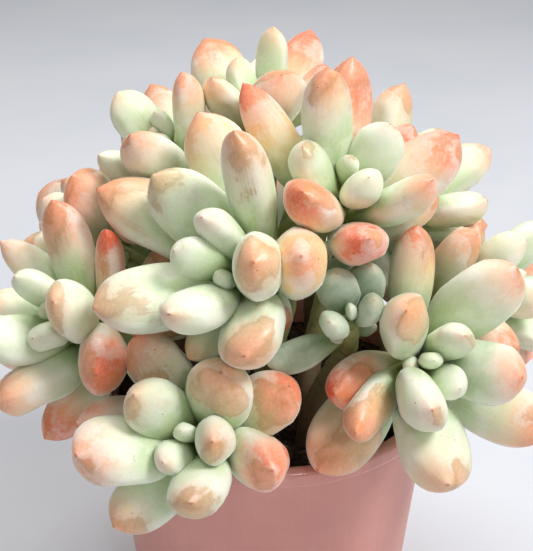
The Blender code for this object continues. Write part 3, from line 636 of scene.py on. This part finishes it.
class Shading:
    """Adds and links the nodes of one material."""

    # The mix node's colour sockets have no names of their own
    MIX_COLOURS, MIX_RESULT = (6, 7), 2

    def __init__(self, name, **sockets):
        self.material = bpy.data.materials.new(name)
        self.material.use_nodes = True
        self.tree = self.material.node_tree
        self.shader = self.tree.nodes["Principled BSDF"]
        for socket, value in sockets.items():
            self.shader.inputs[socket.replace("_", " ")].default_value = value
        self.place = self.node("ShaderNodeTexCoord").outputs["Object"]

    def node(self, kind, inputs=(), **settings):
        new = self.tree.nodes.new(kind)
        for key, value in settings.items():
            setattr(new, key, value)
        for socket, value in dict(inputs).items():
            self.feed(new.inputs[socket], value)
        return new

    def feed(self, socket, value):
        if isinstance(value, bpy.types.NodeSocket):
            self.tree.links.new(value, socket)
        else:
            socket.default_value = value

    def math(self, operation, first, second=0.0, clamp=False):
        node = self.node("ShaderNodeMath", {0: first, 1: second}, operation=operation,
                         use_clamp=clamp)
        return node.outputs[0]

    def times(self, first, second):
        return self.math("MULTIPLY", first, second)

    def less(self, first, second):
        return self.math("SUBTRACT", first, second)

    def total(self, first, *others):
        for other in others:
            first = self.math("ADD", first, other)
        return first

    def rest(self, value, share=1.0):
        """What a share of the value leaves of 1."""
        return self.less(1.0, self.times(value, share))

    def swing(self, noise, amount=1.0):
        """How far a noise strays from its middle, times an amount."""
        return self.times(self.less(noise, 0.5), amount)

    def step(self, value, span, strength=1.0):
        """A smooth rise from 0 to a strength across a span."""
        low, high = span
        node = self.node("ShaderNodeMapRange", {"Value": value, "From Min": low, "From Max": high},
                         interpolation_type="SMOOTHSTEP")
        return self.times(node.outputs["Result"], strength)

    def mix(self, factor, first, second):
        node = self.node("ShaderNodeMix", {"Factor": factor}, data_type="RGBA")
        for socket, colour in zip(self.MIX_COLOURS, (first, second)):
            self.feed(node.inputs[socket], srgb(*colour) if isinstance(colour, tuple) else colour)
        return node.outputs[self.MIX_RESULT]

    def tinge(self, colour, value, span, strength, tint):
        """A colour with some of a tint where a value rises across a span."""
        return self.mix(self.step(value, span, strength), colour, tint)

    def noise(self, scale, detail, roughness, shift=None, place=None):
        """A noise at the object's own place or another, moved by a shift."""
        place = place or self.place
        if shift is not None:
            place = self.node("ShaderNodeVectorMath", {0: place, 1: shift}).outputs[0]
        node = self.node("ShaderNodeTexNoise", {"Vector": place, "Scale": scale, "Detail": detail,
                                                "Roughness": roughness})
        return node.outputs["Fac"]

    def height(self):
        return self.node("ShaderNodeSeparateXYZ", {0: self.place}).outputs["Z"]

    def attribute(self, name):
        node = self.node("ShaderNodeAttribute", attribute_name=name)
        parts = self.node("ShaderNodeSeparateColor", {0: node.outputs["Color"]})
        return *parts.outputs, node.outputs["Alpha"]

    def bump(self, height, strength, distance):
        node = self.node("ShaderNodeBump", {"Height": height, "Strength": strength,
                                            "Distance": distance})
        self.feed(self.shader.inputs["Normal"], node.outputs[0])

    def surface(self, colour, roughness):
        self.feed(self.shader.inputs["Base Color"], colour)
        self.feed(self.shader.inputs["Roughness"], roughness)
        return self.material


class LeafShading(Shading):
    """Pale green flesh that blushes towards the tip, under a white bloom rubbed off in places."""

    def __init__(self):
        super().__init__("pachyphytum_leaf", Subsurface_Weight=0.15, Subsurface_Scale=0.003,
                         Sheen_Weight=0.8, Sheen_Roughness=0.2)
        self.shader.inputs["Subsurface Radius"].default_value = (1.0, 0.6, 0.35)
        self.along, self.across, self.exposed, chance = self.attribute("leaf_place")
        self.pink, yellow_and_shade, self.rubbed, self.turn = self.attribute("leaf_tone")
        # Below 0 on yellow, the tone gives painted shade: a darker blue-green with less bloom
        self.painted_shade = self.times(self.math("MULTIPLY", yellow_and_shade, -1, clamp=True), 0.85)
        self.yellowing = self.math("MULTIPLY", yellow_and_shade, 1, clamp=True)
        self.shift = self.times(chance, 7.3)
        self.broad = self.noise(60, 2, 0.5, shift=self.shift)
        self.patch = self.noise(120, 6, 0.58, shift=self.shift)
        self.fine = self.noise(1100, 3, 0.6)
        self.streaks = self.lengthwise_streaks()
        self.wavy = self.total(self.along, self.swing(self.broad, 0.34),
                               self.times(self.streaks, 0.22))
        self.peachy = self.blush(*PEACH_BLUSH)

    def lengthwise_streaks(self):
        """Streaks that run along the leaf and fade out before its tip."""
        across, turn = self.times(self.across, 5), self.times(self.turn, 5)
        stretched = {0: across, 1: turn, 2: self.times(self.along, 1.3)}
        place = self.node("ShaderNodeCombineXYZ", stretched).outputs[0]
        streaks = self.noise(1.6, 4, 0.6, shift=self.shift, place=place)
        return self.times(self.swing(streaks), self.rest(self.step(self.along, (0.70, 0.96))))

    def blush(self, begins, brought_down, span):
        """How far a blush has set in, which starts lower down on a pinker leaf."""
        begins = self.less(begins, self.times(self.pink, brought_down))
        return self.step(self.less(self.wavy, begins), span)

    def flesh(self):
        """Green from the root, then cream, peach and red towards the tip."""
        # Olive green at the root: partly the leaf's own colour, partly painted light through the flesh
        # and painted shade at the leaf bases
        flesh = self.mix(self.step(self.wavy, (0.04, 0.36)), ROOT_GREEN_AND_PAINTED_LIGHT, MINT)
        flesh = self.mix(self.step(self.wavy, (0.34, 0.78)), flesh, PALE_GREEN)
        # Painted shade: darker blue-green where the tone is below 0 on yellow
        flesh = self.mix(self.painted_shade, flesh, SHADE_BLUE_GREEN)
        creamy = self.times(self.blush(*CREAM_BLUSH), 0.88)
        flesh = self.mix(creamy, flesh, self.mix(self.yellowing, CREAM, BUTTER))
        flesh = self.mix(self.peachy, flesh, PEACH)
        return self.mix(self.blush(*RED_BLUSH), flesh, CORAL_RED)

    def wear(self):
        """How far the bloom is rubbed off, most on the outer faces of the leaves' upper parts."""
        reach = self.times(self.exposed, self.step(self.along, (0.25, 0.75)))
        return self.total(self.times(reach, EXPOSED_WEAR), self.swing(self.broad, NOISE_WEAR),
                          self.swing(self.patch, NOISE_WEAR), self.times(self.streaks, STREAK_WEAR),
                          self.times(self.rubbed, RUBBED_WEAR))

    def skin(self, wear):
        """The skin where the bloom is gone, tan to peach, and browner at a patch's border."""
        skin = self.mix(self.step(self.pink, (0.10, 0.40)), OLIVE_SKIN, TAN_SKIN)
        skin = self.mix(self.times(self.yellowing, 0.8), skin, YELLOW_SKIN)
        warm = self.math("MAXIMUM", self.peachy, self.times(self.pink, 0.5))
        skin = self.mix(self.times(warm, self.rest(self.yellowing, 0.45)), skin, PEACH_SKIN)
        skin = self.tinge(skin, self.fine, (0.46, 0.66), 0.18, (240, 222, 194))
        inner = self.step(wear, (1.00, 1.25))
        return self.mix(self.times(self.rest(inner), 0.50), skin, PATCH_BORDER)

    def bloom(self, bare):
        """White powder, thicker on the edges, thin near the root, on bare patches and on leaves with
        painted shade. The whiter edges are partly bloom and partly a painted highlight.
        """
        # Whiter band along both sides of the leaf: partly real bloom, partly painted highlight standing
        # in for the bright outlines of lit edges
        edge = self.times(self.step(self.math("ABSOLUTE", self.across), (0.84, 1.0)),
                          self.rest(self.step(self.along, (0.80, 0.95))))
        powder = self.total(self.times(edge, 0.36),
                            self.step(self.fine, (0.35, 0.75), 0.16),
                            self.step(self.patch, (0.45, 0.56), 0.30))
        powder = self.times(powder, self.rest(bare, 0.7))
        powder = self.times(powder, self.step(self.along, (0.12, 0.50)))
        # Less powder where painted shade darkens a leaf
        return self.times(powder, self.rest(self.painted_shade, 0.7))

    def marked(self, colour):
        """The colour with faint scratches, dark specks and the reddish dot at the tip."""
        lines = self.swing(self.noise(210, 2, 0.5, shift=self.shift))
        scratch = self.times(self.step(self.math("ABSOLUTE", lines), (0.010, 0.002)),
                             self.step(self.noise(95, 2, 0.5), (0.62, 0.67)))
        colour = self.mix(self.times(scratch, 0.28), colour, (150, 118, 70))
        cells = self.node("ShaderNodeTexVoronoi", {"Vector": self.place, "Scale": 330.0})
        cell_draw = self.node("ShaderNodeSeparateColor", {0: cells.outputs["Color"]}).outputs[0]
        speck = self.times(self.math("LESS_THAN", cells.outputs["Distance"], 0.07),
                           self.math("GREATER_THAN", cell_draw, 0.95))
        colour = self.mix(self.times(speck, 0.65), colour, (96, 70, 58))
        return self.tinge(colour, self.along, (0.9965, 1.0), 0.75, (190, 84, 62))

    def finish(self):
        wear = self.wear()
        skin = self.skin(wear)
        bare = self.step(wear, BARE_SPAN)
        colour = self.mix(self.step(wear, WORN_SPAN, WORN_STRENGTH), self.flesh(), skin)
        colour = self.mix(self.times(bare, BARE_STRENGTH), colour, skin)
        colour = self.mix(self.bloom(bare), colour, POWDER)
        self.bump(self.total(self.times(self.patch, 0.6), self.fine), 0.30, 0.0002)
        roughness = self.less(0.54, self.times(bare, 0.19))
        return self.surface(self.marked(colour), roughness)


def stem_finish():
    """Pale green above and woody brown lower down, with a dark grain."""
    look = Shading("stem_bark")
    grain = look.noise(260, 4, 0.65)
    level = look.total(look.height(), look.swing(grain, 0.03))
    colour = look.mix(look.step(level, (0.095, 0.135)), (118, 92, 66), (158, 164, 106))
    colour = look.tinge(colour, grain, (0.50, 0.62), 0.5, (92, 74, 52))
    look.bump(grain, 0.6, 0.0005)
    return look.surface(colour, 0.75)


def soil_finish():
    """Dark brown clods with paler crumbs."""
    look = Shading("potting_mix")
    clods = look.noise(180, 6, 0.7)
    crumbs = look.noise(900, 4, 0.7)
    colour = look.mix(look.step(clods, (0.35, 0.65)), (26, 19, 16), (66, 48, 38))
    colour = look.tinge(colour, crumbs, (0.58, 0.70), 0.5, (104, 80, 62))
    look.bump(look.total(clods, crumbs), 0.8, 0.0012)
    return look.surface(colour, 0.95)


def grain_finish():
    """Brown bark, with a few grains of pale pumice."""
    look = Shading("potting_grains")
    tone, pale, *_ = look.attribute("grain_tone")
    grit = look.noise(1200, 4, 0.65)
    colour = look.mix(tone, (38, 28, 23), (112, 82, 62))
    colour = look.mix(pale, colour, (176, 160, 138))
    colour = look.tinge(colour, grit, (0.45, 0.70), 0.4, (30, 22, 18))
    look.bump(grit, 0.7, 0.0003)
    return look.surface(colour, 0.9)


def pot_finish():
    """Satin coral plastic, glossier on the band, with fine moulding grain and a little dust."""
    look = Shading("coral_plastic", IOR=1.5)
    cloud = look.noise(38, 3, 0.55)
    stretched = look.node("ShaderNodeMapping", {"Vector": look.place, "Scale": (1.0, 1.0, 0.12)})
    streaks = look.noise(420, 4, 0.6, place=stretched.outputs[0])
    dust = look.noise(150, 5, 0.7)
    colour = look.mix(look.step(cloud, (0.30, 0.70)), (214, 147, 136), (222, 157, 145))
    colour = look.tinge(colour, streaks, (0.52, 0.72), 0.10, (236, 190, 176))
    colour = look.tinge(colour, dust, (0.56, 0.72), 0.10, (150, 112, 96))
    band_foot = POT_HEIGHT - RIM_BAND
    gloss = look.step(look.height(), (band_foot - BAND_BLEND, band_foot + BAND_BLEND), 0.30)
    look.bump(look.noise(1400, 3, 0.55), 0.10, 0.00012)
    return look.surface(colour, look.total(look.less(0.44, gloss), look.times(cloud, 0.06)))


def floor_finish():
    look = Shading("pale_floor")
    cloud = look.step(look.noise(6, 3, 0.5), (0.3, 0.7))
    return look.surface(look.mix(cloud, (208, 211, 217), (214, 216, 221)), 0.85)


def taken_apart(shape):
    """A shape's points, and its faces as point numbers. The shape is freed."""
    points = np.array([vertex.co for vertex in shape.verts])
    faces = [[vertex.index for vertex in face.verts] for face in shape.faces]
    shape.free()
    return points, faces


def ball_grid(sides, rings):
    """A ball's faces, with each vertex's ring from the root pole to the tip pole and its angle."""
    shape = bmesh.new()
    bmesh.ops.create_uvsphere(shape, u_segments=sides, v_segments=rings + 1, radius=1)
    ball, faces = taken_apart(shape)
    ring = np.arccos(np.clip(-ball[:, 2], -1, 1)) / math.pi * (rings + 1)
    return faces, np.rint(ring).astype(int), np.arctan2(ball[:, 1], ball[:, 0])


def smooth_rise(value, low, high):
    t = np.clip((value - low) / (high - low), 0, 1)
    return t * t * (3 - 2 * t)


def pressed(across, depth, half_width, half_depth, along, rng):
    """Flatten a leaf a little where it lay against its neighbours in the bud."""
    for _ in range(FACETS):
        angle = rng.uniform(0, 2 * math.pi)
        east, north = math.cos(angle), math.sin(angle)
        middle = rng.uniform(*FACET_MIDDLES)
        lean = rng.uniform(-FACET_LEAN, FACET_LEAN)
        limit = FACET_SHARE * math.hypot(half_width * east, half_depth * north)
        beyond = across * east + depth * north - limit
        beyond = np.maximum(beyond + lean * half_width * (along - middle), 0) * FACET_PRESS
        fade = smooth_rise(along, middle - FACET_START, middle - FACET_FULL)
        across = across - beyond * fade * east
        depth = depth - beyond * fade * north
    return across, depth


def pointed_profile(u):
    """The leaf's outline as it shows, fuller near the tip than the one it settles by."""
    fall = np.clip((u - WIDEST) / (1 - WIDEST), 0, 1)
    return np.where(u < WIDEST, leaf_profile(u), (1 - fall ** POINT_FULLNESS) ** POINT_POWER)


def leaf_skin(u, around):
    """Soft edges along both sides and a low keel under the tip, as a factor on the outline."""
    edges = EDGE_RISE * np.exp(-(np.sin(around) / EDGE_WIDTH) ** 2) * smooth_rise(u, *EDGE_SPAN)
    below = np.angle(np.exp(1j * (around + math.pi / 2)))
    keel = KEEL_RISE * np.exp(-(below / KEEL_WIDTH) ** 2) * smooth_rise(u, *KEEL_SPAN)
    return 1 + edges + keel - SKIN_INSET


def fine_leaf(foliage, leaf, ring, around):
    """The points of a leaf's surface, and each one's share of the way along it."""
    rng = np.random.default_rng(LEAF_SEED + leaf)
    shares = 0.5 - 0.5 * np.cos(np.linspace(0, math.pi, FINE_RINGS + 2))
    u = shares[ring]
    profile = pointed_profile(u)
    outline = np.where(ring == 0, 0, profile * leaf_skin(u, around))
    half_width = foliage.width[leaf] / 2
    half_depth = foliage.thickness[leaf] / 2
    across = half_width * outline * np.cos(around)
    side_depth = half_depth * np.where(np.sin(around) > 0, UPPER_SIDE, UNDER_SIDE)
    depth = side_depth * outline * np.sin(around)
    across, depth = pressed(across, depth, half_width, half_depth, u, rng)
    for _ in range(WAVES):
        turns, start = rng.integers(*WAVE_TURNS), rng.uniform(0, 2 * math.pi)
        wave = 1 + WAVE_SHARE * np.sin(turns * around + WAVE_TWIST * u + start) * np.sin(math.pi * u)
        across, depth = across * wave, depth * wave
    narrowing = np.clip(1 - profile / POINT_SHARE, 0, 1) ** POINT_SHARPNESS
    pull = np.where(u > WIDEST, POINT_LENGTH * foliage.length[leaf] * narrowing, 0)
    points, tangents, normals, side = [part[leaf] for part in foliage.centreline(u)]
    points = points + pull[:, None] * tangents
    return points + across[:, None] * side + depth[:, None] * normals, u


def leaf_tone(name, rank, draw):
    """A leaf's own tone from the table, where below 0 on yellow is painted shade, or else one by its age:
    older leaves are pinker and yellower.
    """
    if rank in TONES.get(name, {}):
        return np.divide(TONES[name][rank], 100)
    age = rank / OUTER_RANK
    return (PINK_LEAST + PINK_BY_AGE * age + PINK_BY_CHANCE * draw[0],
            YELLOW_BY_AGE * age * draw[1], RUBBED_LEAST + RUBBED_BY_CHANCE * draw[2])


def colour_attribute(mesh, name, values):
    layer = mesh.attributes.new(name, "FLOAT_COLOR", "POINT")
    rgba = np.ones((len(mesh.vertices), 4), dtype=np.float32)
    rgba[:, :values.shape[1]] = values
    layer.data.foreach_set("color", rgba.ravel())


def vertex_normals(mesh):
    normals = np.empty(3 * len(mesh.vertices), dtype=np.float32)
    mesh.vertex_normals.foreach_get("vector", normals)
    return normals.reshape(-1, 3)


def add_object(name, data):
    thing = bpy.data.objects.new(name, data)
    bpy.context.scene.collection.objects.link(thing)
    return thing


def add_piece(name, data, slot, *replaced):
    piece = add_object(name, data)
    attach(piece, "root")
    if replaced:
        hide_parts(*replaced)
    return piece


def smooth_mesh(name, places, faces, material):
    mesh = bpy.data.meshes.new(name)
    mesh.from_pydata(places, [], faces)
    mesh.shade_smooth()
    mesh.materials.append(material)
    return mesh


def add_leaves(name, foliage, number, grid, material):
    """All leaves of one head as one smooth piece that stands for the head's solid."""
    ball_faces, ring, around = grid
    places, shares, tones, faces = [], [], [], []
    rng = np.random.default_rng(SEED + number)
    for order, leaf in enumerate(np.nonzero(foliage.head == number)[0]):
        spots, u = fine_leaf(foliage, leaf, ring, around)
        draw = rng.uniform(size=4)
        tone = leaf_tone(name, foliage.rank[leaf], draw)
        places.append(spots)
        shares.append(np.column_stack([u, np.cos(around), 0 * u, 0 * u + draw[3]]))
        tones.append(np.column_stack([np.tile(tone, (len(u), 1)), np.sin(around)]))
        faces += [[corner + order * len(u) for corner in face] for face in ball_faces]
    places = np.concatenate(places)
    mesh = smooth_mesh(name + "_leaves", places, faces, material)
    shares = np.concatenate(shares)
    shares[:, 2] = np.clip(dot(vertex_normals(mesh), unit(places - PLANT_MIDDLE)), 0, 1)
    colour_attribute(mesh, "leaf_place", shares)
    colour_attribute(mesh, "leaf_tone", np.concatenate(tones))
    add_piece(name + "_leaves", mesh, "leaf", name)


def add_stem(name, head, material):
    """A round, slightly rippled stem that thins a little towards the youngest leaves."""
    curve = bpy.data.curves.new(name + "_stem", "CURVE")
    curve.dimensions = "3D"
    curve.bevel_depth = STEM_RADIUS
    curve.bevel_resolution = 4
    curve.use_fill_caps = True
    route = fine_route(head)
    line = curve.splines.new("POLY")
    line.points.add(len(route) - 1)
    for number, (point, place) in enumerate(zip(line.points, route)):
        point.co = (*place, 1)
        thinned = 1.0 - STEM_TAPER * number / len(route)
        point.radius = thinned + STEM_RIPPLE * math.sin(STEM_RIPPLE_STEP * number)
    line.use_smooth = True
    curve.materials.append(material)
    add_piece(name + "_stem", curve, "leaf")


def add_pot():
    """The pot turned finely, with a lip, a rolled band and a small foot radius."""
    mesh = bpy.data.meshes.new("moulded_pot")
    profile = pot_profile(corner_points=9)
    edges = [(n, n + 1) for n in range(len(profile) - 1)]
    mesh.from_pydata([(x, 0, z) for x, z in profile], edges, [])
    pot = add_piece("moulded_pot", mesh, "pot", "pot")
    screw = pot.modifiers.new("Turn", "SCREW")
    screw.steps = POT_TURN_STEPS
    screw.render_steps = POT_TURN_STEPS
    screw.use_merge_vertices = True
    screw.merge_threshold = 0.00001
    bpy.context.view_layer.update()
    evaluated = pot.evaluated_get(bpy.context.evaluated_depsgraph_get())
    turned = bpy.data.meshes.new_from_object(evaluated)
    pot.modifiers.clear()
    pot.data = turned
    turned.materials.append(pot_finish())
    turned.shade_smooth()
    turned.set_sharp_from_angle(angle=math.radians(40))


def soil_height(x, y):
    """The soil's uneven top, from crossing waves of several sizes."""
    bumps = sum(np.sin(a * x + b * y + c) * WAVE_SCALE / math.hypot(a, b) for a, b, c in SOIL_WAVES)
    mound = SOIL_MOUND * (1 - (x * x + y * y) / (MOUND_RADIUS * MOUND_RADIUS))
    return SOIL_TOP + mound + SOIL_ROLL * SOIL_ROUGH * bumps


def add_soil():
    """A closed body of soil whose top is uneven, in the space of its solid."""
    bottom = FLOOR + CLEARANCE
    edge = inner_radius(SOIL_TOP)
    foot = inner_radius(bottom)
    angles = np.linspace(0, 2 * math.pi, SOIL_SECTORS, endpoint=False)
    radii = edge * np.linspace(0, 1, SOIL_RINGS + 1)[1:]
    rng = np.random.default_rng(SEED)
    rows = []
    for radius in radii:
        x, y = radius * np.cos(angles), radius * np.sin(angles)
        height = soil_height(x, y) + SOIL_ROUGH * SOIL_CRUMB * rng.uniform(-1, 1, SOIL_SECTORS)
        rows.append(np.column_stack([x, y, height]))
    rows.append(np.column_stack([foot * np.cos(angles), foot * np.sin(angles), 0 * angles + bottom]))
    shape = bmesh.new()
    rings = [[shape.verts.new(place) for place in row] for row in rows]
    top = shape.verts.new((0, 0, float(soil_height(0, 0))))
    base = shape.verts.new((0, 0, bottom))
    for k in range(SOIL_SECTORS):
        after = (k + 1) % SOIL_SECTORS
        shape.faces.new((top, rings[0][k], rings[0][after]))
        shape.faces.new((base, rings[-1][after], rings[-1][k]))
        for inner, outer in zip(rings, rings[1:]):
            shape.faces.new((inner[k], outer[k], outer[after], inner[after]))
    bmesh.ops.recalc_face_normals(shape, faces=shape.faces)
    mesh = bpy.data.meshes.new("soil_bed")
    shape.to_mesh(mesh)
    shape.free()
    mesh.shade_smooth()
    mesh.materials.append(soil_finish())
    add_piece("soil_bed", mesh, "soil", "soil")


def add_grains():
    """Loose grit, bark and pumice on the soil, clear of the stems."""
    rng = np.random.default_rng(GRAIN_SEED)
    shape = bmesh.new()
    bmesh.ops.create_icosphere(shape, subdivisions=2, radius=1)
    ball, ball_faces = taken_apart(shape)
    feet = np.array([stem_route(head)[0][:2] for head in HEADS.values()])
    edge = inner_radius(SOIL_TOP, GRAIN_MARGIN)
    smallest, largest = GRAIN_SIZES
    places, faces, tones = [], [], []
    for _ in range(GRAINS):
        radius = smallest + (largest - smallest) * rng.beta(*GRAIN_SKEW)
        across, turn = (edge - radius) * math.sqrt(rng.uniform()), rng.uniform(0, 2 * math.pi)
        x, y = across * math.cos(turn), across * math.sin(turn)
        if np.hypot(*(feet - [x, y]).T).min() < STEM_RADIUS + radius:
            continue
        stretch = rng.uniform(*GRAIN_STRETCH, 3)
        directions = rng.normal(size=(3, 3))
        lumps = 1 + LUMP_SHARE * np.sin(ball @ directions.T * LUMP_PITCH).sum(axis=1)
        grain = ball * lumps[:, None] * stretch * radius
        spin = np.linalg.qr(rng.normal(size=(3, 3)))[0]
        centre = np.array([x, y, soil_height(x, y) + GRAIN_LIFT * radius])
        faces += [[corner + len(places) * len(ball) for corner in face] for face in ball_faces]
        places.append(grain @ spin + centre)
        pale = rng.uniform(PALE_LEAST, 1) if rng.uniform() > PALE_FROM else 0
        tones.append(np.tile([rng.uniform() ** TONE_SKEW, pale, rng.uniform()], (len(ball), 1)))
    mesh = smooth_mesh("soil_grains", np.concatenate(places), faces, grain_finish())
    colour_attribute(mesh, "grain_tone", np.concatenate(tones))
    add_piece("soil_grains", mesh, "soil")


def add_floor():
    bpy.ops.mesh.primitive_plane_add(size=8)
    floor = bpy.context.object
    floor.name = "pale_floor"
    floor.data.materials.append(floor_finish())


def add_light(name, place, size, power):
    data = bpy.data.lights.new(name, "AREA")
    data.shape = "DISK"
    data.size = size
    data.energy = power
    light = add_object(name, data)
    light.location = place
    light.rotation_euler = (LIGHT_AIM - Vector(place)).to_track_quat("-Z", "Y").to_euler()


def add_lights():
    """Soft lights from the right, the front and above, in an evenly lit white room."""
    world = bpy.data.worlds.new("soft_room")
    world.use_nodes = True
    background = world.node_tree.nodes["Background"]
    background.inputs["Color"].default_value = (1, 1, 1, 1)
    background.inputs["Strength"].default_value = 0.29
    bpy.context.scene.world = world
    for name, light in LIGHTS.items():
        add_light(name, *light)


def add_camera():
    data = bpy.data.cameras.new("camera")
    data.sensor_fit = "HORIZONTAL"
    data.sensor_width = 36
    data.lens = data.sensor_width * FOCAL_PIXELS / IMAGE_WIDTH
    data.clip_start = 0.01
    camera = add_object("camera", data)
    pitch = math.radians(CAMERA_PITCH)
    camera.location = CAMERA_TARGET + CAMERA_DISTANCE * Vector((0, -math.cos(pitch), math.sin(pitch)))
    camera.rotation_euler = (math.radians(90) - pitch, 0, 0)
    bpy.context.scene.camera = camera


def main():
    foliage = Foliage()
    settle(foliage)
    leaf_look, stem_look = LeafShading().finish(), stem_finish()
    grid = ball_grid(FINE_SIDES, FINE_RINGS)
    for number, (name, head) in enumerate(HEADS.items()):
        add_leaves(name, foliage, number, grid, leaf_look)
        add_stem(name, head, stem_look)
    add_pot()
    add_soil()
    add_grains()
    add_floor()
    add_lights()
    add_camera()
    bpy.context.scene.view_settings.view_transform = "Standard"


main()
